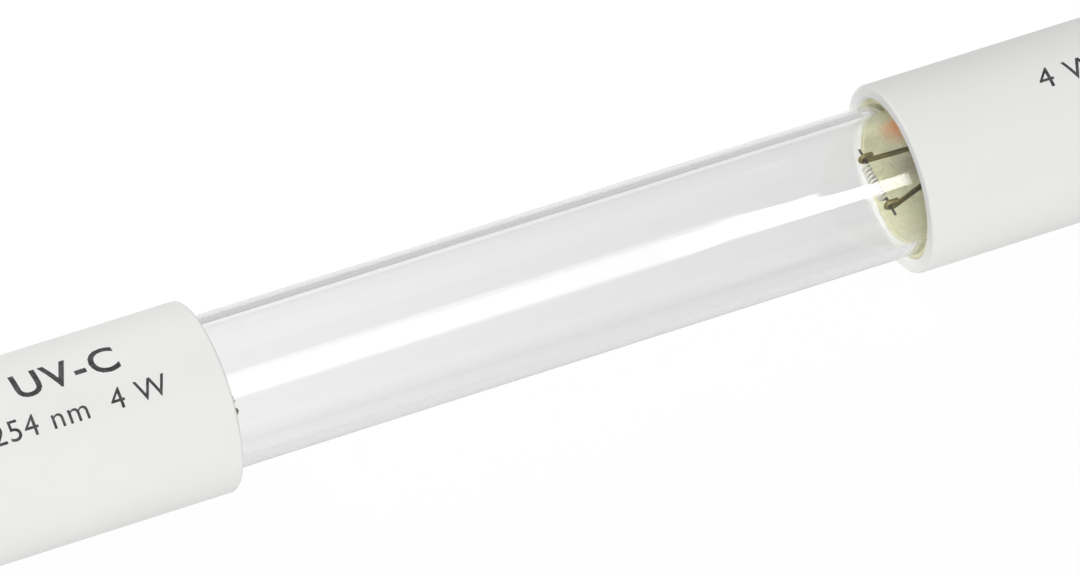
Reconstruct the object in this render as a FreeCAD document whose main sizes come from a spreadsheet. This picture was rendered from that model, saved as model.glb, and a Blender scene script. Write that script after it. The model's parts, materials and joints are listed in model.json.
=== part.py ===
import FreeCAD, Part
import math
import os

import Sketcher

# Germicidal lamp tube: a clear quartz tube pressed flat at both ends, an electrode and a
# ceramic two-pin cap at each end, and a bead of mercury. Millimetres.
# The lamp's frame has its origin at the middle of the tube's axis, +X towards the right
# cap, the pins and electrodes spread along Y, and +Z up.
# Each end's pieces are drawn in a frame of their own: origin on the axis at the mouth of
# the cap, +X out towards the pins. The left end is the right one turned half round about Z.

# Driving sizes: name, value and what it measures.
SIZES = (
    ("glass_show", 71.5, "clear glass between the mouths of the caps"),
    ("tube_dia", 15.0, "outside of the tube"),
    ("tube_wall", 1.0, "wall of the tube"),
    ("tube_in_cap", 10.0, "round tube inside each cap"),
    ("shoulder_length", 5.5, "from the round tube to the pressed seal"),
    ("press_length", 9.0, "flat pressed seal"),
    ("press_thick", 3.0, "thickness of the pressed seal"),
    ("press_narrowing", 1.3, "from the tube's side to the flat of the seal"),
    ("press_edge_radius", 2.0, "roundness of the seal's narrow sides"),
    ("press_end_bevel", 0.4, "fire-polished end of the seal"),
    ("rail_width", 1.5, "raised rail along each side of the seal"),
    ("web_recess", 0.45, "web between the rails, below them"),
    ("web_start", 1.0, "from the shoulder to that web"),
    ("throat_floor", 0.9, "solid glass between the space inside and the seal"),
    ("throat_height", 0.8, "height of the space inside at its end"),
    ("throat_wall", 1.2, "glass beside that space"),
    ("throat_edge_radius", 0.5, "roundness of that space's narrow sides"),
    ("nub_dia", 3.2, "exhaust tube through the left seal"),
    ("nub_bore", 1.4, "bore of the exhaust tube"),
    ("nub_length", 1.3, "straight exhaust tube beyond the seal"),
    ("nub_tip_length", 1.2, "melted tip of the exhaust tube"),
    ("nub_tip_dia", 1.0, "blunt end of that tip"),
    ("lead_room", 3.65, "from the seal to the closed end of the cap"),
    ("cap_end_wall", 3.6, "closed end of the cap"),
    ("cap_wall", 1.4, "wall of the cap's sleeve"),
    ("cement_gap", 0.5, "cement between the tube and the cap"),
    ("cement_inset", 0.3, "from the mouth down to the cement"),
    ("cement_stop", 0.5, "from the cement to the end of the round tube"),
    ("cement_dip_radius", 0.5, "hollow face of the cement"),
    ("mouth_round", 0.3, "outer edge of the mouth"),
    ("mouth_bevel", 0.25, "inner edge of the mouth"),
    ("end_round", 1.2, "edge of the closed end"),
    ("pin_spacing", 4.75, "between the two pins"),
    ("pin_dia", 2.36, "pin"),
    ("pin_length", 7.1, "pin beyond the cap"),
    ("pin_nose", 0.7, "rounding of the pin's nose"),
    ("pin_bore", 1.3, "hollow of the pin"),
    ("pin_crimp_length", 1.6, "nose closed on the lead"),
    ("collar_dia", 3.4, "collar of the pin in the face of the cap"),
    ("collar_thick", 0.5, "thickness of the collar"),
    ("rivet_dia", 3.3, "pin spread over inside the cap"),
    ("rivet_thick", 0.4, "thickness of the spread end"),
    ("foil_width", 1.8, "sealing foil"),
    ("foil_length", 6.0, "sealing foil along the lamp"),
    ("foil_thick", 0.06, "sealing foil"),
    ("foil_overlap", 1.2, "lead welded along the foil"),
    ("weld_flat", 0.04, "lead pressed flat where it is welded"),
    ("foil_spacing", 5.4, "between the two foils of an end"),
    ("lead_dia", 0.5, "lead wires"),
    ("post_spacing", 5.8, "between the tips of the two leads"),
    ("post_reach", 1.5, "lead beyond the mouth of the cap"),
    ("post_straight", 0.5, "last straight piece of a lead before its hook"),
    ("straight_lead_bend", 2.75, "off the axis of the straighter lead at its bend"),
    ("slanted_lead_bend", 1.7, "off the axis of the slanted lead at its bend"),
    ("bend_depth", 2.4, "bend of the leads inside the mouth"),
    ("hook_clearance", 0.02, "between a hook and the filament's leg"),
    ("hook_return", 0.8, "end of the hook bent back"),
    ("strand_dia", 0.32, "filament strand with its coating"),
    ("leg_dia", 0.26, "bare leg of the filament"),
    ("coil_dia", 0.65, "filament coil at the middle of its strand"),
    ("coil_turns", 9, "turns of the filament coil"),
    ("coil_end_gap", 0.9, "from the coil to the lead at each side"),
    ("leg_end", 1.2, "filament leg beyond the hook"),
    ("mercury_dia", 0.9, "bead of mercury"),
    ("mercury_depth", 4.0, "mercury bead inside the left cap"),
)

# Distances from the mouth of the cap out along the lamp.
PRESS_START = "(Sizes.tube_in_cap + Sizes.shoulder_length)"
PRESS_END = "(Sizes.tube_in_cap + Sizes.shoulder_length + Sizes.press_length)"
WALL_INSIDE = f"({PRESS_END} + Sizes.lead_room)"
CAP_FACE = f"({WALL_INSIDE} + Sizes.cap_end_wall)"
FOIL_START = f"({PRESS_START} + (Sizes.press_length - Sizes.foil_length) / 2)"
FOIL_END = f"({FOIL_START} + Sizes.foil_length)"

# Radii and distances off the axis.
HALF_SHOW = "(Sizes.glass_show / 2)"
TUBE_RADIUS = "(Sizes.tube_dia / 2)"
BORE_RADIUS = "(Sizes.tube_dia / 2 - Sizes.tube_wall)"
CAP_BORE_RADIUS = "(Sizes.tube_dia / 2 + Sizes.cement_gap)"
CAP_RADIUS = "(Sizes.tube_dia / 2 + Sizes.cement_gap + Sizes.cap_wall)"
PRESS_HALF = "(Sizes.press_thick / 2)"
LEAD_RADIUS = "(Sizes.lead_dia / 2)"
FOIL_TOP = "(Sizes.weld_flat - Sizes.lead_dia / 2)"
HOOK_RADIUS = "(Sizes.lead_dia / 2 + Sizes.leg_dia / 2 + Sizes.hook_clearance)"
COIL_LENGTH = "(Sizes.post_spacing - 2 * Sizes.coil_end_gap)"

# The four arcs of an oval meet at these shares of its half width and half height.
OVAL_CORNER_Y = 0.8
OVAL_CORNER_Z = 0.6

TINY = 1e-4
ENDS = ("right", "left")


def fill_sheet(doc):
    """Writes each driving size into the sheet, with its name as the alias of its cell."""
    sheet = doc.addObject("Spreadsheet::Sheet", "Sizes")
    for row, (name, size, meaning) in enumerate(SIZES, 1):
        sheet.set(f"A{row}", name)
        sheet.set(f"B{row}", str(size))
        sheet.set(f"C{row}", meaning)
        sheet.setAlias(f"B{row}", name)
    doc.recompute()
    return sheet


def value(item, expression):
    """The number that an expression gives now."""
    return float(item.evalExpression(expression))


def new_body(doc, name):
    body = doc.addObject("PartDesign::Body", name)
    body.Label = name
    return body


def origin_part(body, role):
    """A plane or an axis of the body's own origin."""
    found = [part for part in body.Origin.OriginFeatures if part.Role == role]
    return found[0]


def sketch_on(body, name, role, offset=None):
    """A sketch on one of the body's planes, moved along the plane's normal."""
    sketch = body.newObject("Sketcher::SketchObject", name)
    sketch.AttachmentSupport = [(origin_part(body, role), "")]
    sketch.MapMode = "FlatFace"
    if offset:
        sketch.setExpression("AttachmentOffset.Base.z", offset)
    return sketch


def drive(sketch, kind, *where, by):
    """Adds a constraint whose value is bound to an expression."""
    index = sketch.addConstraint(Sketcher.Constraint(kind, *where, value(sketch, by)))
    sketch.setExpression(f"Constraints[{index}]", by)


def fix_point(sketch, item, end, across, up):
    """Holds one point of a sketch at two distances from its origin."""
    drive(sketch, "DistanceX", -1, 1, item, end, by=across)
    drive(sketch, "DistanceY", -1, 1, item, end, by=up)


def circle(sketch, radius, across="0", up="0"):
    centre = FreeCAD.Vector(value(sketch, across), value(sketch, up), 0)
    shape = Part.Circle(centre, FreeCAD.Vector(0, 0, 1), value(sketch, radius))
    item = sketch.addGeometry(shape, False)
    fix_point(sketch, item, 3, across, up)
    drive(sketch, "Radius", item, by=radius)


def arc_between(start, end, radius):
    """The short arc that turns left from start to end, or right if the radius is negative."""
    if radius < 0:
        return arc_between(end, start, -radius)
    middle = (start + end) / 2
    chord = end - start
    rise = math.sqrt(radius**2 - (chord.Length / 2) ** 2)
    left = FreeCAD.Vector(-chord.y, chord.x, 0).normalize()
    centre = middle + left * rise
    full = Part.Circle(centre, FreeCAD.Vector(0, 0, 1), radius)
    angles = [math.atan2(point.y - centre.y, point.x - centre.x) for point in (start, end)]
    return Part.ArcOfCircle(full, *angles)


def outline(sketch, corners):
    """A closed outline. A corner is two expressions, and a third makes the edge that
    leaves it an arc of that radius, as arc_between takes it."""
    points = [FreeCAD.Vector(value(sketch, c[0]), value(sketch, c[1]), 0) for c in corners]
    ends = []
    for index, corner in enumerate(corners):
        start, end = points[index], points[(index + 1) % len(points)]
        radius = value(sketch, corner[2]) if len(corner) > 2 else 0
        if radius:
            item = sketch.addGeometry(arc_between(start, end, radius), False)
        else:
            item = sketch.addGeometry(Part.LineSegment(start, end), False)
        ends.append((item, 2, 1) if radius < 0 else (item, 1, 2))
    for index, (item, first, last) in enumerate(ends):
        following, its_first, its_last = ends[(index + 1) % len(ends)]
        sketch.addConstraint(
            Sketcher.Constraint("Coincident", item, last, following, its_first)
        )
    for (item, first, last), corner in zip(ends, corners):
        fix_point(sketch, item, first, corner[0], corner[1])
        if len(corner) > 2:
            drive(sketch, "Radius", item, by=f"abs({corner[2]})")


def route(sketch, points):
    """An open run of straight lines through the points, each two expressions."""
    places = [FreeCAD.Vector(value(sketch, p[0]), value(sketch, p[1]), 0) for p in points]
    items = [
        sketch.addGeometry(Part.LineSegment(start, end), False)
        for start, end in zip(places, places[1:])
    ]
    for item, following in zip(items, items[1:]):
        sketch.addConstraint(Sketcher.Constraint("Coincident", item, 2, following, 1))
    for item, point in zip(items, points):
        fix_point(sketch, item, 1, *point)
    fix_point(sketch, items[-1], 2, *points[-1])
    return [f"Edge{index}" for index in range(1, len(points))]


def oval(sketch, half_width, half_height):
    """Four arcs that follow an ellipse. With equal halves they make a circle."""
    corner_y = f"{OVAL_CORNER_Y} * {half_width}"
    corner_z = f"{OVAL_CORNER_Z} * {half_height}"
    rise_z = f"({1 - OVAL_CORNER_Z} * {half_height})"
    rise_y = f"({1 - OVAL_CORNER_Y} * {half_width})"
    flat_radius = f"(({corner_y})^2 + {rise_z}^2) / (2 * {rise_z})"
    side_radius = f"(({corner_z})^2 + {rise_y}^2) / (2 * {rise_y})"
    four_sided(sketch, corner_y, corner_z, side_radius, flat_radius)


def four_sided(sketch, corner_y, corner_z, side_radius, flat_radius=None):
    """Two rounded sides and two broad ones, which are flat if they have no radius."""
    broad = (flat_radius,) if flat_radius else ()
    outline(
        sketch,
        (
            (corner_y, f"-({corner_z})", side_radius),
            (corner_y, corner_z, *broad),
            (f"-({corner_y})", corner_z, side_radius),
            (f"-({corner_y})", f"-({corner_z})", *broad),
        ),
    )


def pad(body, name, sketch, length, backwards=False):
    feature = body.newObject("PartDesign::Pad", name)
    feature.Profile = sketch
    feature.setExpression("Length", length)
    feature.Reversed = backwards
    return feature


def pocket(body, name, sketch, length, backwards=False):
    """Cuts away from the sketch against its plane's normal, or along it if backwards."""
    feature = body.newObject("PartDesign::Pocket", name)
    feature.Profile = sketch
    feature.setExpression("Length", length)
    feature.Reversed = backwards
    return feature


def revolve(body, name, sketch, kind="Revolution"):
    """A full turn of the sketch about the body's X axis, added or cut as a Groove."""
    feature = body.newObject(f"PartDesign::{kind}", name)
    feature.Profile = sketch
    feature.ReferenceAxis = (origin_part(body, "X_Axis"), [""])
    feature.Angle = 360
    return feature


def loft(body, name, sketches, kind="AdditiveLoft"):
    feature = body.newObject(f"PartDesign::{kind}", name)
    feature.Profile = sketches[0]
    feature.Sections = sketches[1:]
    return feature


def mirror(body, name, features, role):
    feature = body.newObject("PartDesign::Mirrored", name)
    feature.Originals = features
    feature.MirrorPlane = (origin_part(body, role), [""])
    body.Tip = feature
    return feature


def ring_edges(feature, along, radius):
    """The round edges of a turned shape at one place along X and of one radius."""
    names = []
    for index, edge in enumerate(feature.Shape.Edges, 1):
        curve = edge.Curve
        if isinstance(curve, Part.Circle) and abs(curve.Radius - radius) < TINY:
            if abs(curve.Center.x - along) < TINY and abs(curve.Axis.x) > 1 - TINY:
                names.append(f"Edge{index}")
    return names


def cross_edges(feature, along):
    """The edges of a feature that lie in one plane across X."""
    names = []
    for index, edge in enumerate(feature.Shape.Edges, 1):
        box = edge.BoundBox
        if abs(box.XMin - along) < TINY and abs(box.XMax - along) < TINY:
            names.append(f"Edge{index}")
    return names


def dress(body, name, kind, base, edges, size):
    """A Fillet or a Chamfer on named edges of the feature before it."""
    feature = body.newObject(f"PartDesign::{kind}", name)
    feature.Base = (base, edges)
    feature.setExpression("Radius" if kind == "Fillet" else "Size", size)
    return feature


def round_ring(body, name, kind, along, radius, size):
    """Rounds or bevels the ring edge at one place of the body so far."""
    body.Document.recompute()
    base = body.Tip
    edges = ring_edges(base, value(body, along), value(body, radius))
    return dress(body, name, kind, base, edges, size)


def place(item, end, along="0", across="0", up="0"):
    """Places a piece given in an end's own frame into the lamp's frame."""
    side = "" if end == "right" else "-"
    item.setExpression("Placement.Base.x", f"{side}({HALF_SHOW} + {along})")
    item.setExpression("Placement.Base.y", f"{side}({across})")
    item.setExpression("Placement.Base.z", up)
    if end == "left":
        item.setExpression("Placement.Rotation.Angle", "180")


def row_name(end, side):
    """front or back in the lamp's frame, for a piece at the + or - side of an end."""
    at_back = (side > 0) == (end == "right")
    return "back" if at_back else "front"


def make_cap(doc, end):
    """A ceramic sleeve, closed at its outer end, with two holes for the pins."""
    body = new_body(doc, f"{end}_cap")
    section = sketch_on(body, f"{end}_cap_section", "XY_Plane")
    outline(
        section,
        (
            ("0", CAP_BORE_RADIUS),
            (WALL_INSIDE, CAP_BORE_RADIUS),
            (WALL_INSIDE, "0"),
            (CAP_FACE, "0"),
            (CAP_FACE, CAP_RADIUS),
            ("0", CAP_RADIUS),
        ),
    )
    revolve(body, f"{end}_cap_sleeve", section)
    round_ring(body, f"{end}_cap_mouth_round", "Fillet", "0", CAP_RADIUS, "Sizes.mouth_round")
    round_ring(
        body, f"{end}_cap_mouth_bevel", "Chamfer", "0", CAP_BORE_RADIUS, "Sizes.mouth_bevel"
    )
    round_ring(body, f"{end}_cap_end_round", "Fillet", CAP_FACE, CAP_RADIUS, "Sizes.end_round")
    hole = sketch_on(body, f"{end}_cap_hole_outline", "YZ_Plane", CAP_FACE)
    circle(hole, "Sizes.pin_dia / 2", "Sizes.pin_spacing / 2")
    recess = sketch_on(body, f"{end}_cap_recess_outline", "YZ_Plane", CAP_FACE)
    circle(recess, "Sizes.collar_dia / 2", "Sizes.pin_spacing / 2")
    cuts = [
        pocket(body, f"{end}_cap_hole", hole, "Sizes.cap_end_wall"),
        pocket(body, f"{end}_cap_recess", recess, "Sizes.collar_thick"),
    ]
    mirror(body, f"{end}_cap_second_hole", cuts, "XZ_Plane")
    place(body, end)
    return body


def make_cement(doc, end):
    """The ring of cement between the tube and the cap, with a hollow front face."""
    body = new_body(doc, f"{end}_cement")
    section = sketch_on(body, f"{end}_cement_section", "XY_Plane")
    inner_end = "Sizes.tube_in_cap - Sizes.cement_stop"
    outline(
        section,
        (
            ("Sizes.cement_inset", CAP_BORE_RADIUS, "-Sizes.cement_dip_radius"),
            ("Sizes.cement_inset", TUBE_RADIUS),
            (inner_end, TUBE_RADIUS),
            (inner_end, CAP_BORE_RADIUS),
        ),
    )
    revolve(body, f"{end}_cement_ring", section)
    place(body, end)
    return body


def make_pin(doc, end, side):
    """A hollow pin riveted through the cap, drawn from the cap's face on its own axis."""
    body = new_body(doc, f"{end}_pin_{row_name(end, side)}")
    section = sketch_on(body, f"{body.Name}_section", "XY_Plane")
    pin_radius = "Sizes.pin_dia / 2"
    rivet_end = "-(Sizes.cap_end_wall + Sizes.rivet_thick)"
    crimp_start = "Sizes.pin_length - Sizes.pin_crimp_length"
    outline(
        section,
        (
            (rivet_end, "Sizes.pin_bore / 2"),
            (crimp_start, "Sizes.pin_bore / 2"),
            (f"{crimp_start} + (Sizes.pin_bore - Sizes.lead_dia) / 2", LEAD_RADIUS),
            ("Sizes.pin_length", LEAD_RADIUS),
            ("Sizes.pin_length", f"{pin_radius} - Sizes.pin_nose", "Sizes.pin_nose"),
            ("Sizes.pin_length - Sizes.pin_nose", pin_radius),
            ("0", pin_radius),
            ("0", "Sizes.collar_dia / 2"),
            ("-Sizes.collar_thick", "Sizes.collar_dia / 2"),
            ("-Sizes.collar_thick", pin_radius),
            ("-Sizes.cap_end_wall", pin_radius),
            ("-Sizes.cap_end_wall", "Sizes.rivet_dia / 2"),
            (rivet_end, "Sizes.rivet_dia / 2"),
        ),
    )
    revolve(body, f"{body.Name}_turned", section)
    place(body, end, CAP_FACE, f"{side} * Sizes.pin_spacing / 2")
    return body


def make_foil(doc, end, side):
    """A strip of sealing foil in the pressed glass, under the leads welded to it."""
    foil = doc.addObject("Part::Box", f"{end}_foil_{row_name(end, side)}")
    foil.Label = foil.Name
    foil.setExpression("Length", "Sizes.foil_length")
    foil.setExpression("Width", "Sizes.foil_width")
    foil.setExpression("Height", "Sizes.foil_thick")
    corner = f"{side} * Sizes.foil_spacing / 2 - Sizes.foil_width / 2"
    place(foil, end, FOIL_START, corner, f"{FOIL_TOP} - Sizes.foil_thick")
    return foil


def make_wire(doc, name, points, foil_edge):
    """A lead wire that follows a route in the plane of the seal, from its end on the foil.
    Between there and the foil's edge it is flat below, where it is welded."""
    body = new_body(doc, name)
    path = sketch_on(body, f"{name}_route", "XY_Plane")
    edges = route(path, points)
    start = sketch_on(body, f"{name}_start", "YZ_Plane", points[0][0])
    circle(start, LEAD_RADIUS, points[0][1])
    wire = body.newObject("PartDesign::AdditivePipe", f"{name}_bent")
    wire.Profile = start
    wire.Spine = (path, edges)
    wire.Transition = "Round corner"
    weld = sketch_on(body, f"{name}_weld", "XY_Plane", FOIL_TOP)
    sides = [f"{points[0][1]} {sign} Sizes.lead_dia" for sign in "-+"]
    first, last = (points[0][0], foil_edge) if foil_edge == FOIL_END else (foil_edge, points[0][0])
    outline(weld, ((first, sides[0]), (last, sides[0]), (last, sides[1]), (first, sides[1])))
    pocket(body, f"{name}_weld_flat", weld, "Sizes.lead_dia")
    return body


def make_inner_lead(doc, end, side):
    """The lead from the foil to the filament, its tip hooked over the filament's leg."""
    slanted = side < 0
    off_foil = f"{side} * Sizes.foil_spacing / 2"
    bend = "Sizes.slanted_lead_bend" if slanted else "Sizes.straight_lead_bend"
    tip = f"{side} * Sizes.post_spacing / 2"
    body = make_wire(
        doc,
        f"{end}_inner_lead_{row_name(end, side)}",
        (
            (f"{FOIL_START} + Sizes.foil_overlap", off_foil),
            (f"{PRESS_START} - Sizes.shoulder_length / 2", off_foil),
            ("Sizes.bend_depth", f"{side} * {bend}"),
            ("Sizes.post_straight - Sizes.post_reach", tip),
            ("-Sizes.post_reach", tip),
        ),
        FOIL_START,
    )
    name = body.Name
    bent = sketch_on(body, f"{name}_hook_start", "YZ_Plane", "-Sizes.post_reach")
    circle(bent, LEAD_RADIUS, tip)
    centre = value(body, HOOK_RADIUS)
    axis = Part.LineSegment(FreeCAD.Vector(-1, centre, 0), FreeCAD.Vector(1, centre, 0))
    item = bent.addGeometry(axis, True)
    fix_point(bent, item, 1, "-Sizes.post_spacing", HOOK_RADIUS)
    fix_point(bent, item, 2, "Sizes.post_spacing", HOOK_RADIUS)
    hook = body.newObject("PartDesign::Revolution", f"{name}_hook")
    hook.Profile = bent
    hook.ReferenceAxis = (bent, ["Axis0"])
    hook.Angle = 180
    last = sketch_on(body, f"{name}_hook_end", "YZ_Plane", "-Sizes.post_reach")
    circle(last, LEAD_RADIUS, tip, f"2 * {HOOK_RADIUS}")
    pad(body, f"{name}_hook_return", last, "Sizes.hook_return")
    place(body, end)
    return body


def make_outer_lead(doc, end, side):
    """The lead from the foil out of the seal and through the hollow pin to its nose."""
    off_foil = f"{side} * Sizes.foil_spacing / 2"
    in_pin = f"{side} * Sizes.pin_spacing / 2"
    bend_room = "Sizes.lead_room / 4"
    body = make_wire(
        doc,
        f"{end}_outer_lead_{row_name(end, side)}",
        (
            (f"{FOIL_END} - Sizes.foil_overlap", off_foil),
            (f"{PRESS_END} + {bend_room}", off_foil),
            (f"{WALL_INSIDE} - {bend_room}", in_pin),
            (f"{CAP_FACE} + Sizes.pin_length", in_pin),
        ),
        FOIL_END,
    )
    place(body, end)
    return body


def make_filament(doc, end):
    """A coil of coated tungsten strand with a bare straight leg at each side for the
    leads' hooks. Each leg starts inside the end of the strand."""
    body = new_body(doc, f"{end}_filament")
    name = body.Name
    coil_radius = "Sizes.coil_dia / 2"
    start = sketch_on(body, f"{name}_strand", "XY_Plane")
    circle(start, "Sizes.strand_dia / 2", coil_radius, f"-{COIL_LENGTH} / 2")
    coil = body.newObject("PartDesign::AdditiveHelix", f"{name}_coil")
    coil.Profile = start
    coil.ReferenceAxis = (origin_part(body, "Y_Axis"), [""])
    coil.Mode = "height-turns-angle"
    coil.setExpression("Height", COIL_LENGTH)
    coil.setExpression("Turns", "Sizes.coil_turns")
    in_strand = "Sizes.strand_dia / 4"
    leg_length = f"Sizes.coil_end_gap + Sizes.leg_end + {in_strand}"
    leg_start = f"{COIL_LENGTH} / 2 - {in_strand}"
    for leg, offset, backwards in (("front", leg_start, False), ("back", f"-({leg_start})", True)):
        section = sketch_on(body, f"{name}_{leg}_leg_section", "XZ_Plane", offset)
        circle(section, "Sizes.leg_dia / 2", coil_radius)
        pad(body, f"{name}_{leg}_leg", section, leg_length, backwards)
    place(body, end, f"(-Sizes.post_reach - {coil_radius})", "0", HOOK_RADIUS)
    return body


def dome(body, name, length, sizes, edge_radius, kind):
    """A loft from the round tube to a flat outline over a length. sizes are the radius of
    the round, then the half width of the flat's broad side and its half height. At half
    the length a quarter of the flattening is done, which makes the form a dome."""
    radius, flat_y, flat_z = sizes
    round_end = f"{HALF_SHOW} + Sizes.tube_in_cap"
    start = sketch_on(body, f"{name}_round", "YZ_Plane", round_end)
    oval(start, radius, radius)
    middle = sketch_on(body, f"{name}_middle", "YZ_Plane", f"{round_end} + ({length}) / 2")
    oval(middle, f"((3 * {radius} + {flat_y}) / 4)", f"((3 * {radius} + {flat_z}) / 4)")
    end = sketch_on(body, f"{name}_flat", "YZ_Plane", f"{round_end} + ({length})")
    four_sided(end, flat_y, flat_z, edge_radius)
    return loft(body, name, [start, middle, end], kind)


def add_seals(body):
    """The outside of both shoulders and pressed seals, with rails along their sides."""
    flat_y = f"({TUBE_RADIUS} - Sizes.press_narrowing)"
    shoulder = dome(
        body,
        "shoulder",
        "Sizes.shoulder_length",
        (TUBE_RADIUS, flat_y, PRESS_HALF),
        "Sizes.press_edge_radius",
        "AdditiveLoft",
    )
    seal_outline = sketch_on(body, "seal_outline", "YZ_Plane", f"{HALF_SHOW} + {PRESS_START}")
    four_sided(seal_outline, flat_y, PRESS_HALF, "Sizes.press_edge_radius")
    seal = pad(body, "seal", seal_outline, "Sizes.press_length")
    base = mirror(body, "left_seal", [shoulder, seal], "YZ_Plane")
    body.Document.recompute()
    seal_end = f"({HALF_SHOW} + {PRESS_END})"
    ends = [cross_edges(base, value(body, f"{side}{seal_end}")) for side in ("", "-")]
    dress(body, "polished_ends", "Chamfer", base, sum(ends, []), "Sizes.press_end_bevel")

    web_x = (f"{HALF_SHOW} + {PRESS_START} + Sizes.web_start", seal_end)
    web_y = f"({flat_y} - Sizes.rail_width)"
    webs = []
    for face, height in (("top", PRESS_HALF), ("bottom", f"-{PRESS_HALF}")):
        web = sketch_on(body, f"{face}_web_outline", "XY_Plane", height)
        outline(
            web,
            (
                (web_x[0], f"-{web_y}"),
                (web_x[1], f"-{web_y}"),
                (web_x[1], web_y),
                (web_x[0], web_y),
            ),
        )
        backwards = face == "bottom"
        webs.append(pocket(body, f"{face}_web", web, "Sizes.web_recess", backwards))
    mirror(body, "left_webs", webs, "YZ_Plane")


def make_glass(doc):
    """The quartz envelope before the metal is sealed in: a round tube that flattens
    through a domed shoulder into a pressed seal at each end, with the exhaust tube
    melted shut beyond the left seal."""
    body = new_body(doc, "glass_blank")
    straight = f"2 * ({HALF_SHOW} + Sizes.tube_in_cap)"
    tube_end = f"{HALF_SHOW} + Sizes.tube_in_cap"

    round_outline = sketch_on(body, "tube_outline", "YZ_Plane", f"-({tube_end})")
    oval(round_outline, TUBE_RADIUS, TUBE_RADIUS)
    pad(body, "tube", round_outline, straight)
    add_seals(body)

    nub = sketch_on(body, "exhaust_section", "XY_Plane")
    nub_radius = "Sizes.nub_dia / 2"
    nub_shoulder = f"-({HALF_SHOW} + {PRESS_END} + Sizes.nub_length)"
    nub_end = f"-({HALF_SHOW} + {PRESS_END} + Sizes.nub_length + Sizes.nub_tip_length)"
    nub_start = f"-({HALF_SHOW} + {PRESS_START})"
    outline(
        nub,
        (
            (nub_end, "0"),
            (nub_start, "0"),
            (nub_start, nub_radius),
            (nub_shoulder, nub_radius),
            (nub_end, "Sizes.nub_tip_dia / 2"),
        ),
    )
    revolve(body, "exhaust_tube", nub)

    bore_outline = sketch_on(body, "bore_outline", "YZ_Plane", f"-({tube_end})")
    oval(bore_outline, BORE_RADIUS, BORE_RADIUS)
    pocket(body, "bore", bore_outline, straight, backwards=True)
    throat_y = f"({TUBE_RADIUS} - Sizes.press_narrowing - Sizes.throat_wall)"
    throat = dome(
        body,
        "throat",
        "Sizes.shoulder_length - Sizes.throat_floor",
        (BORE_RADIUS, throat_y, "(Sizes.throat_height / 2)"),
        "Sizes.throat_edge_radius",
        "SubtractiveLoft",
    )
    mirror(body, "left_throat", [throat], "YZ_Plane")

    channel = sketch_on(body, "exhaust_bore_section", "XY_Plane")
    bore_radius = "Sizes.nub_bore / 2"
    channel_start = f"{nub_start} + Sizes.throat_floor + {bore_radius}"
    outline(
        channel,
        (
            (f"{nub_shoulder} - {bore_radius}", "0"),
            (channel_start, "0"),
            (channel_start, bore_radius),
            (nub_shoulder, bore_radius),
        ),
    )
    revolve(body, "exhaust_bore", channel, "Groove")
    return body


def seal_in(doc, blank, metal):
    """The finished envelope: the glass has closed round the leads and foils."""
    together = doc.addObject("Part::MultiFuse", "sealed_metal")
    together.Shapes = metal
    envelope = doc.addObject("Part::Cut", "glass_envelope")
    envelope.Base = blank
    envelope.Tool = together
    envelope.Label = "glass_envelope"
    return envelope


def make_mercury(doc):
    """A bead of mercury that lies on the bottom of the tube, just inside the left cap."""
    bead = doc.addObject("Part::Sphere", "mercury_bead")
    bead.Label = bead.Name
    bead.setExpression("Radius", "Sizes.mercury_dia / 2")
    height = f"-({BORE_RADIUS} - Sizes.mercury_dia / 2)"
    place(bead, "left", "Sizes.mercury_depth", "0", height)
    return bead


def check(doc, pieces):
    """Stops if any object failed or any piece is not one sound solid."""
    for item in doc.Objects:
        if "Invalid" in item.State or "Error" in item.State:
            raise RuntimeError(f"{item.Name} did not compute: {item.State}")
    for piece in pieces:
        shape = piece.Shape
        if shape.isNull() or not shape.isValid() or len(shape.Solids) != 1:
            raise RuntimeError(f"{piece.Label} is not one sound solid")


def main():
    doc = FreeCAD.newDocument("germicidal_lamp")
    fill_sheet(doc)
    pieces = []
    metal = []
    for end in ENDS:
        pieces.append(make_cap(doc, end))
        pieces.append(make_cement(doc, end))
        pieces.append(make_filament(doc, end))
        for side in (1, -1):
            pieces.append(make_pin(doc, end, side))
            metal.append(make_foil(doc, end, side))
            metal.append(make_inner_lead(doc, end, side))
            metal.append(make_outer_lead(doc, end, side))
    pieces += metal
    pieces.append(seal_in(doc, make_glass(doc), metal))
    pieces.append(make_mercury(doc))
    doc.recompute()
    check(doc, pieces)

    os.makedirs("parts", exist_ok=True)
    for piece in pieces:
        piece.Shape.exportStep(f"parts/{piece.Label}.step")
        print(f"{piece.Label}: {piece.Shape.Volume:.3f} mm3")


main()
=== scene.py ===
import json
import math

import bmesh
import bpy
from mathutils import Matrix, Vector, noise


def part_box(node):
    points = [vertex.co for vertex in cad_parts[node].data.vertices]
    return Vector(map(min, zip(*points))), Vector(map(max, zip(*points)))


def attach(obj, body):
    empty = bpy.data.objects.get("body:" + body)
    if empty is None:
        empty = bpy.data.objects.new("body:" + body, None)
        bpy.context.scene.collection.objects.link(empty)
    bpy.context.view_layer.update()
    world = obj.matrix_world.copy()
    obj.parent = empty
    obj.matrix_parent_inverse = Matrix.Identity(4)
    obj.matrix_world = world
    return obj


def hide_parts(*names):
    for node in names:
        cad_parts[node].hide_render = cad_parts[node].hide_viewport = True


# Germicidal lamp tube on a pale floor. Metres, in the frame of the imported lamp: its axis is
# X, +X points at the right cap, front is -Y, and the floor is one cap radius below the axis.

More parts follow.
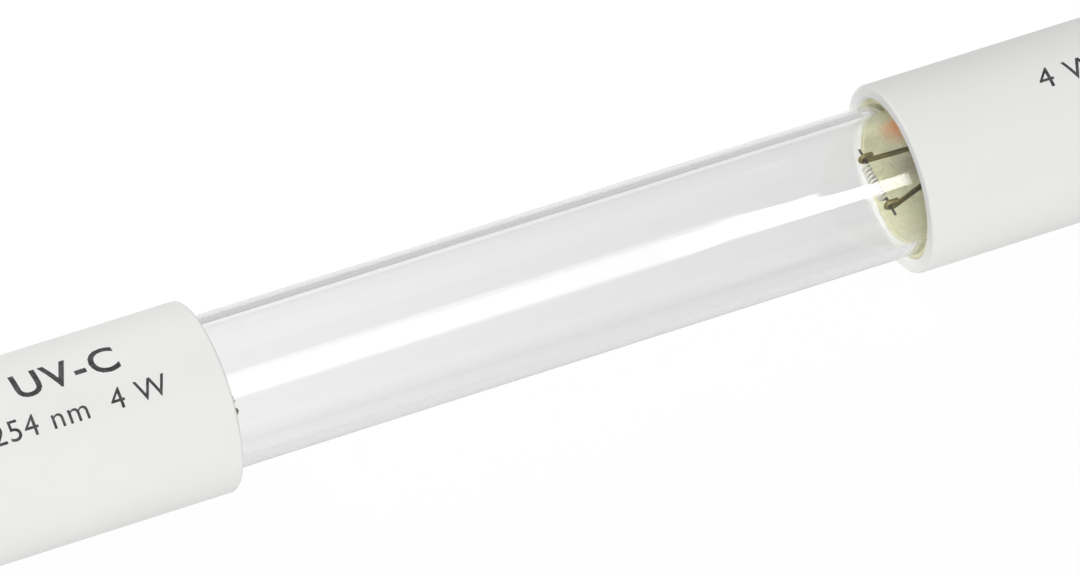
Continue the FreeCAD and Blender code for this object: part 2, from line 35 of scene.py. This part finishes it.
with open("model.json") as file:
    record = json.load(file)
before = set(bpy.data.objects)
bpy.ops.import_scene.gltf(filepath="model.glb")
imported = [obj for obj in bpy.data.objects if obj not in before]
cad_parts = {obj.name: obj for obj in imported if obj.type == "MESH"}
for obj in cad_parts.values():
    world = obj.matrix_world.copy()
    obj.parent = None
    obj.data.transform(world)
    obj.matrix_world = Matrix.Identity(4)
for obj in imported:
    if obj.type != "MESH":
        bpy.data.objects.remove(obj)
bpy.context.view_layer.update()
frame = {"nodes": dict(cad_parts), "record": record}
lamp = frame["nodes"]

MM = 0.001
ENDS = ("left", "right")
CAP_RADIUS = 9.4 * MM
CAP_BORE = 8.0 * MM
TUBE_RADIUS = 7.5 * MM
CEMENT_CLEAR = 0.02 * MM
INK_THICK = 0.02 * MM


# Materials are built from nodes with this helper.

class Finish:
    """A material under construction: its node tree and its Principled shader."""

    def __init__(self, name, **sockets):
        self.material = bpy.data.materials.new(name)
        self.material.use_nodes = True
        self.tree = self.material.node_tree
        self.shader = self.tree.nodes["Principled BSDF"]
        for socket, number in sockets.items():
            self.shader.inputs[socket.replace("_", " ")].default_value = number
        self.place = self.add("ShaderNodeTexCoord").outputs["Object"]

    def add(self, kind, inputs=(), **settings):
        """A node with its settings, and its inputs given as numbers or as outputs."""
        node = self.tree.nodes.new(kind)
        for setting, choice in settings.items():
            setattr(node, setting, choice)
        for socket, source in dict(inputs).items():
            self.feed(node.inputs[socket], source)
        return node

    def feed(self, socket, source):
        """Links an output to an input, or writes a number into it."""
        if isinstance(source, bpy.types.NodeSocket):
            self.tree.links.new(source, socket)
        else:
            socket.default_value = source

    def place_on(self, axis):
        """The place along one axis, in metres."""
        return self.add("ShaderNodeSeparateXYZ", {"Vector": self.place}).outputs[axis]

    def stretched(self, along, across):
        """Object coordinates in metres times a scale along X and one across it."""
        inputs = {"Vector": self.place, "Scale": (along, across, across)}
        return self.add("ShaderNodeMapping", inputs).outputs["Vector"]

    def calculate(self, operation, *sources):
        """One step of arithmetic on numbers or outputs."""
        node = self.add("ShaderNodeMath", dict(enumerate(sources)), operation=operation)
        return node.outputs["Value"]

    def grain(self, scale, vector=None, detail=4.0):
        """Noise with its features about 1 / scale metres across."""
        source = vector or self.place
        inputs = {"Vector": source, "Scale": scale, "Detail": detail, "Roughness": 0.55}
        return self.add("ShaderNodeTexNoise", inputs).outputs["Fac"]

    def between(self, factor, low, high, start=0.0, end=1.0):
        """A number that goes from low to high while the factor goes from start to end."""
        inputs = {
            "Value": factor,
            "From Min": start,
            "From Max": end,
            "To Min": low,
            "To Max": high,
        }
        return self.add("ShaderNodeMapRange", inputs).outputs["Result"]

    def blend(self, factor, first, second):
        """Mixes two colours, each given as RGB or as an output."""
        node = self.add("ShaderNodeMix", data_type="RGBA")
        self.feed(node.inputs["Factor"], factor)
        colour_inputs = [socket for socket in node.inputs if socket.type == "RGBA"]
        for socket, colour in zip(colour_inputs, (first, second)):
            linked = isinstance(colour, bpy.types.NodeSocket)
            self.feed(socket, colour if linked else (*colour, 1.0))
        return next(socket for socket in node.outputs if socket.type == "RGBA")

    def bump(self, height, depth, strength):
        """A normal from a height of 0 to 1 that stands for a depth in metres."""
        inputs = {"Height": height, "Distance": depth, "Strength": strength}
        return self.add("ShaderNodeBump", inputs).outputs["Normal"]

    def set(self, socket, source):
        """Feeds one of the Principled shader's inputs."""
        self.feed(self.shader.inputs[socket], source)

    def end_in_mix(self, share, first, second):
        """Ends the material in a mix of two shaders, with a share of the second."""
        mixed = self.add("ShaderNodeMixShader", {0: share, 1: first, 2: second})
        self.feed(self.tree.nodes["Material Output"].inputs["Surface"], mixed.outputs["Shader"])


# The finishes of the lamp.

def clear_quartz():
    """Fused quartz: clear, with faint lines along it from drawing the tube."""
    quartz = Finish("quartz", Transmission_Weight=1.0, IOR=1.46)
    lines = quartz.grain(1.0, quartz.stretched(25, 900), detail=3.0)
    quartz.set("Base Color", quartz.blend(lines, (0.975, 0.98, 0.975), (0.995, 1.0, 0.995)))
    quartz.set("Roughness", quartz.between(lines, 0.0, 0.03, 0.4, 0.8))
    quartz.set("Normal", quartz.bump(lines, 0.01 * MM, 0.4))
    return quartz


def satin_ceramic():
    """Unglazed white steatite with a fine tooth and a few grey specks."""
    ceramic = Finish("ceramic", IOR=1.5)
    cloud = ceramic.grain(90.0, detail=3.0)
    tooth = ceramic.grain(5200.0, detail=2.0)
    specks = ceramic.grain(1500.0, detail=1.0)
    body = ceramic.blend(cloud, (0.80, 0.80, 0.78), (0.84, 0.84, 0.825))
    few = ceramic.between(specks, 0.0, 0.25, 0.78, 0.84)
    ceramic.set("Base Color", ceramic.blend(few, body, (0.6, 0.59, 0.55)))
    ceramic.set("Roughness", ceramic.between(cloud, 0.42, 0.58))
    ceramic.set("Normal", ceramic.bump(tooth, 0.02 * MM, 0.5))
    return ceramic


def basing_cement():
    """Khaki cement, grainy. In the right cap it is rust-brown beside one lead, and greyish
    between the leads, where the grey is painted shade."""
    cement = Finish("cement", Roughness=0.9)
    grains = cement.grain(2600.0, detail=5.0)
    patches = cement.grain(330.0, detail=3.0)
    body = cement.blend(grains, (0.62, 0.61, 0.39), (0.81, 0.80, 0.58))
    body = cement.blend(cement.between(patches, 0.0, 0.5, 0.45, 0.7), body, (0.56, 0.54, 0.32))
    # Each spot: its middle and its reach, both in millimetres, and its colour. The first is a
    # rust-brown patch beside one lead; the second, greyish between the leads, is painted shade.
    tint_and_painted_shade_spots = (
        ((40.5, 7.4, -1.3), 3.0, (0.84, 0.30, 0.12)),
        ((40.6, 4.8, -5.8), 2.4, (0.42, 0.38, 0.29)),
    )
    for middle, reach, colour in tint_and_painted_shade_spots:
        points = {0: cement.place, 1: tuple(number * MM for number in middle)}
        away = cement.add("ShaderNodeVectorMath", points, operation="DISTANCE").outputs["Value"]
        ragged = cement.calculate("MULTIPLY_ADD", patches, 1.6 * MM, away)
        near = cement.between(ragged, 0.9, 0.0, 0.5 * reach * MM, 1.3 * reach * MM)
        body = cement.blend(near, body, colour)
    cement.set("Base Color", body)
    cement.set("Normal", cement.bump(grains, 0.15 * MM, 0.8))
    return cement


def oxidised_wire():
    """Lead wire dulled olive-brown by the heat of the seal."""
    wire = Finish("lead_wire", Metallic=1.0)
    heat = wire.grain(700.0, wire.stretched(0.6, 1.0), detail=3.0)
    wire.set("Base Color", wire.blend(heat, (0.15, 0.125, 0.05), (0.40, 0.34, 0.16)))
    wire.set("Roughness", wire.between(heat, 0.35, 0.6))
    wire.set("Normal", wire.bump(wire.grain(9000.0), 0.01 * MM, 0.5))
    return wire


def coated_coil():
    """Tungsten strand: white emission oxide on the coil, dark metal on the bare legs."""
    coil = Finish("coated_filament")
    crumbs = coil.grain(6000.0)
    off_axis = coil.calculate("ABSOLUTE", coil.place_on("Y"))
    bare = coil.between(off_axis, 0.0, 1.0, 1.95 * MM, 2.1 * MM)
    oxide = coil.blend(crumbs, (0.48, 0.47, 0.42), (0.70, 0.69, 0.62))
    coil.set("Base Color", coil.blend(bare, oxide, (0.06, 0.055, 0.04)))
    coil.set("Roughness", coil.between(bare, 0.9, 0.4))
    coil.set("Normal", coil.bump(crumbs, 0.05 * MM, 0.7))
    return coil


def sealing_foil():
    """Molybdenum foil, rolled along its length."""
    foil = Finish("foil", Metallic=1.0)
    rolled = foil.grain(1.0, foil.stretched(120, 9000), detail=3.0)
    foil.set("Base Color", foil.blend(rolled, (0.36, 0.35, 0.34), (0.52, 0.51, 0.49)))
    foil.set("Roughness", foil.between(rolled, 0.25, 0.45))
    return foil


def nickel_plate():
    """Nickel plating with fine marks along the pin and a little tarnish."""
    nickel = Finish("pin_plating", Metallic=1.0)
    drawn = nickel.grain(1.0, nickel.stretched(300, 6000), detail=3.0)
    tarnish = nickel.grain(600.0, detail=3.0)
    bright = nickel.blend(drawn, (0.60, 0.58, 0.53), (0.74, 0.72, 0.67))
    dull = nickel.between(tarnish, 0.0, 0.5, 0.55, 0.75)
    nickel.set("Base Color", nickel.blend(dull, bright, (0.48, 0.43, 0.34)))
    nickel.set("Roughness", nickel.between(drawn, 0.16, 0.34))
    nickel.set("Normal", nickel.bump(drawn, 0.004 * MM, 0.5))
    return nickel


def liquid_mercury():
    """Mercury with a thin film of oxide in patches."""
    mercury = Finish("mercury", Metallic=1.0)
    film = mercury.grain(1800.0, detail=3.0)
    mercury.set("Base Color", mercury.blend(film, (0.78, 0.78, 0.80), (0.66, 0.66, 0.67)))
    mercury.set("Roughness", mercury.between(film, 0.03, 0.2, 0.5, 0.8))
    return mercury


def print_ink():
    """Dark ink, stamped a little unevenly."""
    ink = Finish("print_ink", Roughness=0.6)
    uneven = ink.grain(1300.0)
    thin = ink.between(uneven, 0.0, 1.0, 0.35, 0.75)
    ink.set("Base Color", ink.blend(thin, (0.02, 0.02, 0.022), (0.10, 0.10, 0.10)))
    return ink


FINISHES = {
    "quartz": clear_quartz(),
    "ceramic": satin_ceramic(),
    "cement": basing_cement(),
    "coated_filament": coated_coil(),
    "lead_wire": oxidised_wire(),
    "foil": sealing_foil(),
    "pin_plating": nickel_plate(),
    "mercury": liquid_mercury(),
    "print_ink": print_ink(),
}


def dress_lamp():
    """Gives each CAD node the finish that the record names for it."""
    for part in frame["record"]["subparts"]:
        slots = lamp[part["node"]].data.materials
        slots.clear()
        slots.append(FINISHES[part["material_slot"]].material)


# Pieces of the lamp that are made here.

def new_object(shape, name, finish, smooth=False):
    """An object at the origin from a finished bmesh."""
    mesh = bpy.data.meshes.new(name)
    shape.to_mesh(mesh)
    shape.free()
    for face in mesh.polygons:
        face.use_smooth = smooth
    mesh.materials.append(finish.material)
    made = bpy.data.objects.new(name, mesh)
    bpy.context.scene.collection.objects.link(made)
    return made


def new_piece(shape, name, finish, smooth=False):
    """A visible piece of the lamp in one of the finishes."""
    piece = new_object(shape, name, FINISHES[finish], smooth)
    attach(piece, "root")
    return piece


def put_in_order(shape):
    """Lists the faces by their corners, because merging lists them anew on each run."""
    shape.verts.index_update()
    by_corners = sorted(shape.faces, key=lambda face: sorted(vert.index for vert in face.verts))
    for number, face in enumerate(by_corners):
        face.index = number
    shape.faces.sort()


def cement_ring(end):
    """The cement as it is seen in the mouth: a rough face that was pushed in by hand."""
    low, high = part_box(f"{end}_cement")
    mouth, inner_end = (high.x, low.x) if end == "left" else (low.x, high.x)
    way = 1 if end == "right" else -1
    bore = TUBE_RADIUS + CEMENT_CLEAR
    # In millimetres, and closest together at the mouth, where the cement is rough.
    depths = (0.0, 0.15, 0.35, 0.7, 1.2, 2.2, 4.0)
    steps = [mouth + way * depth * MM for depth in depths] + [inner_end]
    rows = 4
    rim = [(mouth, bore + (CAP_BORE - bore) / rows * row) for row in range(rows + 1)]
    outside = [(x, CAP_BORE) for x in steps[1:]]
    inside = [(x, bore) for x in reversed(steps[1:])]
    shape = bmesh.new()
    profile = [shape.verts.new((x, radius, 0)) for x, radius in rim + outside + inside]
    edges = [shape.edges.new(pair) for pair in zip(profile, profile[1:] + profile[:1])]
    bmesh.ops.spin(shape, geom=profile + edges, cent=(0, 0, 0), axis=(1, 0, 0), angle=math.tau,
                   steps=180, use_merge=True)
    bmesh.ops.remove_doubles(shape, verts=shape.verts, dist=1e-6)
    bmesh.ops.recalc_face_normals(shape, faces=shape.faces)
    put_in_order(shape)
    rough_depth, crumb, lump = 0.5 * MM, 0.9 * MM, 4.0 * MM
    for vert in shape.verts:
        depth = abs(vert.co.x - mouth)
        if depth < rough_depth:
            rough = noise.fractal(vert.co / crumb, 0.6, 2.2, 4)
            slump = noise.noise(vert.co / lump + Vector((3.1, 0, 0)))
            sink = (0.10 + 0.10 * rough + 0.12 * slump) * MM * (1 - depth / rough_depth)
            vert.co.x += way * max(sink, 0.0)
    ring = new_piece(shape, f"{end}_cement_fill", "cement", smooth=True)
    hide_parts(f"{end}_cement")
    return ring


def print_on_cap(name, words, centre, angle, height, bold=0.0):
    """Ink on a cap: words that read along the lamp, their middle at a place along it and at
    an angle up from the front side, with capitals of a height."""
    capital_share = 0.7
    curve = bpy.data.curves.new(f"{name}_lettering", "FONT")
    curve.body = words
    curve.size = height / capital_share
    curve.offset = bold
    curve.space_character = 1.1
    curve.extrude = INK_THICK / 2
    curve.align_x = "CENTER"
    curve.align_y = "CENTER"
    curve.resolution_u = 4
    lettering = bpy.data.objects.new(f"{name}_lettering", curve)
    bpy.context.scene.collection.objects.link(lettering)
    flat = bpy.data.meshes.new_from_object(
        lettering.evaluated_get(bpy.context.evaluated_depsgraph_get())
    )
    bpy.data.objects.remove(lettering)
    shape = bmesh.new()
    shape.from_mesh(flat)
    bpy.data.meshes.remove(flat)
    bmesh.ops.remove_doubles(shape, verts=shape.verts, dist=1e-7)
    # Cuts along the words let the flat letters bend round the cap.
    for step in range(-8, 9):
        everything = shape.verts[:] + shape.edges[:] + shape.faces[:]
        cut = (0, step * height / 12, 0)
        bmesh.ops.bisect_plane(shape, geom=everything, dist=1e-7, plane_co=cut,
                               plane_no=(0, 1, 0))
    for vert in shape.verts:
        radius = CAP_RADIUS + INK_THICK / 4 + vert.co.z
        turn = math.radians(angle) + vert.co.y / CAP_RADIUS
        vert.co = Vector((centre + vert.co.x, -radius * math.cos(turn), radius * math.sin(turn)))
    bmesh.ops.recalc_face_normals(shape, faces=shape.faces)
    return new_piece(shape, name, "print_ink")


# The studio.

# Each soft light: degrees up from the floor's front side about the lamp's axis, distance
# from the axis and place along it in metres, and watts.
SOFT_LIGHTS = {
    "key": (40.0, 0.6, -0.18, 1.6),
    "back": (140.0, 0.6, -0.18, 1.35),
    "left": (165.0, 0.6, -0.3, 0.7),
    "mouths": (58.0, 0.8, -0.5, 1.3),
    "left_end": (60.0, 0.12, -0.8, 1.0),
    "right_end": (60.0, 0.12, 0.8, 1.0),
}
SOFT_LIGHT_SIDE = 0.3


def turned_back(finish, path):
    """1 for views through one wall of the glass, which turn back at the bore and cross its
    surface twice, and 0 for those that go through both walls."""
    return finish.calculate("LESS_THAN", path["Transmission Depth"], 2.5)


def make_floor():
    """A white paper floor. Views of it are mostly its own white, with painted shade in glass and
    metal: a little greyer there, and greyer still under the tube. The rest is the light that
    falls on it, which keeps the shadow."""
    shape = bmesh.new()
    bmesh.ops.create_grid(shape, x_segments=1, y_segments=1, size=4.0)
    bmesh.ops.translate(shape, vec=(0, 0, -CAP_RADIUS), verts=shape.verts)

    paper = Finish("floor_paper", Roughness=0.9)
    pulp = paper.grain(60.0)
    paper.set("Base Color", paper.blend(pulp, (0.84, 0.84, 0.84), (0.88, 0.88, 0.88)))
    path = paper.add("ShaderNodeLightPath").outputs
    # Through both walls it has painted shade: greyer towards the right cap, and painted shadow
    # of the tube in front of the axis.
    along = paper.between(paper.place_on("X"), 0.95, 0.78, -35.0 * MM, 40.0 * MM)
    painted_shadow_front = paper.between(paper.place_on("Y"), 0.88, 1.0, -2.0 * MM, 1.0 * MM)
    painted_shade_through = paper.calculate("MULTIPLY", along, painted_shadow_front)
    # Through one wall it is painted shadow under the lamp, which gives the grey along the near
    # edge of the tube.
    painted_shadow_near_edge = paper.between(paper.place_on("Y"), 0.77, 1.03, -2.0 * MM, 8.0 * MM)
    painted_shade_seen = paper.between(turned_back(paper, path), painted_shade_through, painted_shadow_near_edge)
    level = paper.calculate("MAXIMUM", painted_shade_seen, path["Is Camera Ray"])
    white = paper.add("ShaderNodeEmission", {"Color": (1, 1, 1, 1), "Strength": level})
    seen = paper.calculate("MAXIMUM", path["Is Glossy Ray"], path["Is Transmission Ray"])
    seen = paper.calculate("MAXIMUM", seen, path["Is Camera Ray"])
    share = paper.calculate("MULTIPLY", seen, 0.96)
    paper.end_in_mix(share, paper.shader.outputs["BSDF"], white.outputs["Emission"])

    floor = new_object(shape, "floor", paper)


def make_painted_shadow_card():
    """A grey card with soft sides on the floor behind the lamp, seen only in the glass: a
    painted shadow of the lamp on the floor. Where light turns back at the bore, after one way in
    and one way out, it draws the dark line along the far edge of the tube. Straight through both
    walls it is faint."""
    half_long, half_wide, half_dark = 250.0 * MM, 34.0 * MM, 20.0 * MM
    middle, top = 52.0 * MM, -CAP_RADIUS + 0.4 * MM
    faint, strong = 0.06, 0.52
    shape = bmesh.new()
    bmesh.ops.create_grid(shape, x_segments=1, y_segments=1, size=1.0)
    bmesh.ops.scale(shape, vec=(half_long, half_wide, 1.0), verts=shape.verts)
    bmesh.ops.translate(shape, vec=(0.0, middle, top), verts=shape.verts)

    shadow_paint = Finish("painted_shadow_card_shade", Roughness=1.0)
    shadow_mottle = shadow_paint.grain(900.0)
    # Its dark grey is painted shadow, mottled a little.
    shadow_paint.set("Base Color", shadow_paint.blend(shadow_mottle, (0.05, 0.05, 0.05), (0.09, 0.09, 0.09)))
    offset = shadow_paint.calculate("SUBTRACT", shadow_paint.place_on("Y"), middle)
    soft = shadow_paint.between(shadow_paint.calculate("ABSOLUTE", offset), 1.0, 0.0, half_dark, half_wide)
    path = shadow_paint.add("ShaderNodeLightPath").outputs
    share = shadow_paint.between(turned_back(shadow_paint, path), faint, strong)
    share = shadow_paint.calculate("MULTIPLY", share, soft)
    clear = shadow_paint.add("ShaderNodeBsdfTransparent")
    shadow_paint.end_in_mix(share, clear.outputs["BSDF"], shadow_paint.shader.outputs["BSDF"])

    shadow_card = new_object(shape, "painted_shadow_card", shadow_paint)
    shadow_card.visible_camera = False
    shadow_card.visible_diffuse = False
    shadow_card.visible_shadow = False


def make_world():
    """White surroundings."""
    world = bpy.data.worlds.new("studio")
    world.use_nodes = True
    bpy.context.scene.world = world
    tree = world.node_tree
    ground = tree.nodes["Background"]
    ground.inputs["Color"].default_value = (1, 1, 1, 1)
    ground.inputs["Strength"].default_value = 0.4


def make_strip():
    """A curved sheet of light a metre from the lamp's axis, seen mirrored as the white band
    along the tube. Towards the right mouth it is narrower and stronger."""
    middle, half_long = 0.329, 0.161
    narrow_from, narrow_over = 0.350, 0.022
    stronger_from, stronger_to = 0.345, 0.372
    # In degrees about the axis.
    lower_edge, width, narrowing = 42.5, 36.5, 18.5
    shape = bmesh.new()
    bmesh.ops.create_grid(shape, x_segments=40, y_segments=12, size=1.0)
    for vert in shape.verts:
        along = middle + half_long * vert.co.x
        narrow = min(max((along - narrow_from) / narrow_over, 0.0), 1.0)
        share = (vert.co.y + 1) / 2
        turn = math.radians(lower_edge + (width - narrowing * narrow) * share)
        vert.co = Vector((along, -math.cos(turn), math.sin(turn)))

    glow = Finish("strip_glow", Roughness=1.0)
    cloth = glow.grain(4.0)
    glow.set("Base Color", glow.blend(cloth, (0.78, 0.78, 0.78), (0.82, 0.82, 0.82)))
    glow.set("Emission Color", (1, 1, 1, 1))
    strength = glow.between(glow.place_on("X"), 1.6, 8.0, stronger_from, stronger_to)
    glow.set("Emission Strength", strength)

    strip = new_object(shape, "strip", glow)
    strip.visible_camera = False
    strip.visible_shadow = False
    return strip


def soft_light(name, angle, distance, along, watts):
    """A square soft light that faces the middle of the lamp."""
    data = bpy.data.lights.new(name, "AREA")
    data.shape = "SQUARE"
    data.size = SOFT_LIGHT_SIDE
    data.energy = watts
    light = bpy.data.objects.new(name, data)
    turn = math.radians(angle)
    place = Vector((along, -distance * math.cos(turn), distance * math.sin(turn)))
    back = place.normalized()
    across = Vector((1, 0, 0)).cross(back).normalized()
    length = back.cross(across)
    light.matrix_world = Matrix((across, length, back)).transposed().to_4x4()
    light.location = place
    bpy.context.scene.collection.objects.link(light)
    return light


def pass_glass(lights, rings):
    """Clear quartz hardly holds light back, so it throws no shadow of these lights."""
    holding = bpy.data.collections.new("throws_shadow")
    for piece in rings + [piece for name, piece in lamp.items() if name != "glass_envelope"]:
        holding.objects.link(piece)
    for light in lights:
        light.light_linking.blocker_collection = holding


def keep_to(light, pieces):
    """Lets a light reach these pieces only."""
    reached = bpy.data.collections.new(f"reached_by_{light.name}")
    for piece in pieces:
        reached.objects.link(piece)
    light.light_linking.receiver_collection = reached


def light_lamp(rings, left_prints):
    """The lights of the studio, most of them kept to the pieces that they are for."""
    lights = {"strip": make_strip()}
    for name, setting in SOFT_LIGHTS.items():
        lights[name] = soft_light(name, *setting)
    electrodes = [name for name in lamp if "inner_lead" in name or "filament" in name]
    keep_to(lights["mouths"], rings + [lamp[name] for name in electrodes])
    keep_to(lights["left"], [lamp["left_cap"], *left_prints])
    for end in ENDS:
        outer = (f"{end}_cap", f"{end}_pin", f"{end}_outer")
        keep_to(lights[f"{end}_end"], [lamp[name] for name in lamp if name.startswith(outer)])
    pass_glass(lights.values(), rings)


def make_camera():
    """The camera that was fitted to the outline of tube and caps."""
    data = bpy.data.cameras.new("camera")
    data.sensor_width = 36.0
    data.sensor_fit = "HORIZONTAL"
    data.lens = 423.1
    data.clip_start = 0.05
    data.clip_end = 20.0
    camera = bpy.data.objects.new("camera", data)
    right = Vector((0.90872, -0.40846, 0.08599))
    up = Vector((0.28664, 0.76040, 0.58278))
    back = right.cross(up)
    camera.matrix_world = Matrix((right, up, back)).transposed().to_4x4()
    camera.location = Vector((-365.728, -606.813, 971.560)) * MM
    bpy.context.scene.collection.objects.link(camera)
    bpy.context.scene.camera = camera


bpy.context.scene.view_settings.view_transform = "Standard"
# Light that reaches the electrode crosses many glass walls.
bpy.context.scene.cycles.max_bounces = 32
bpy.context.scene.cycles.transmission_bounces = 32
bpy.context.scene.cycles.diffuse_bounces = 8

dress_lamp()
rings = [cement_ring(end) for end in ENDS]
left_prints = (
    print_on_cap("left_print_band", "UV-C", -50.0 * MM, 97.0, 3.0 * MM, 0.06 * MM),
    print_on_cap("left_print_rating", "254 nm  4 W", -50.3 * MM, 71.0, 2.1 * MM),
)
print_on_cap("right_print_rating", "4 W", 53.4 * MM, 88.0, 2.3 * MM)
make_floor()
make_painted_shadow_card()
make_world()
light_lamp(rings, left_prints)
make_camera()
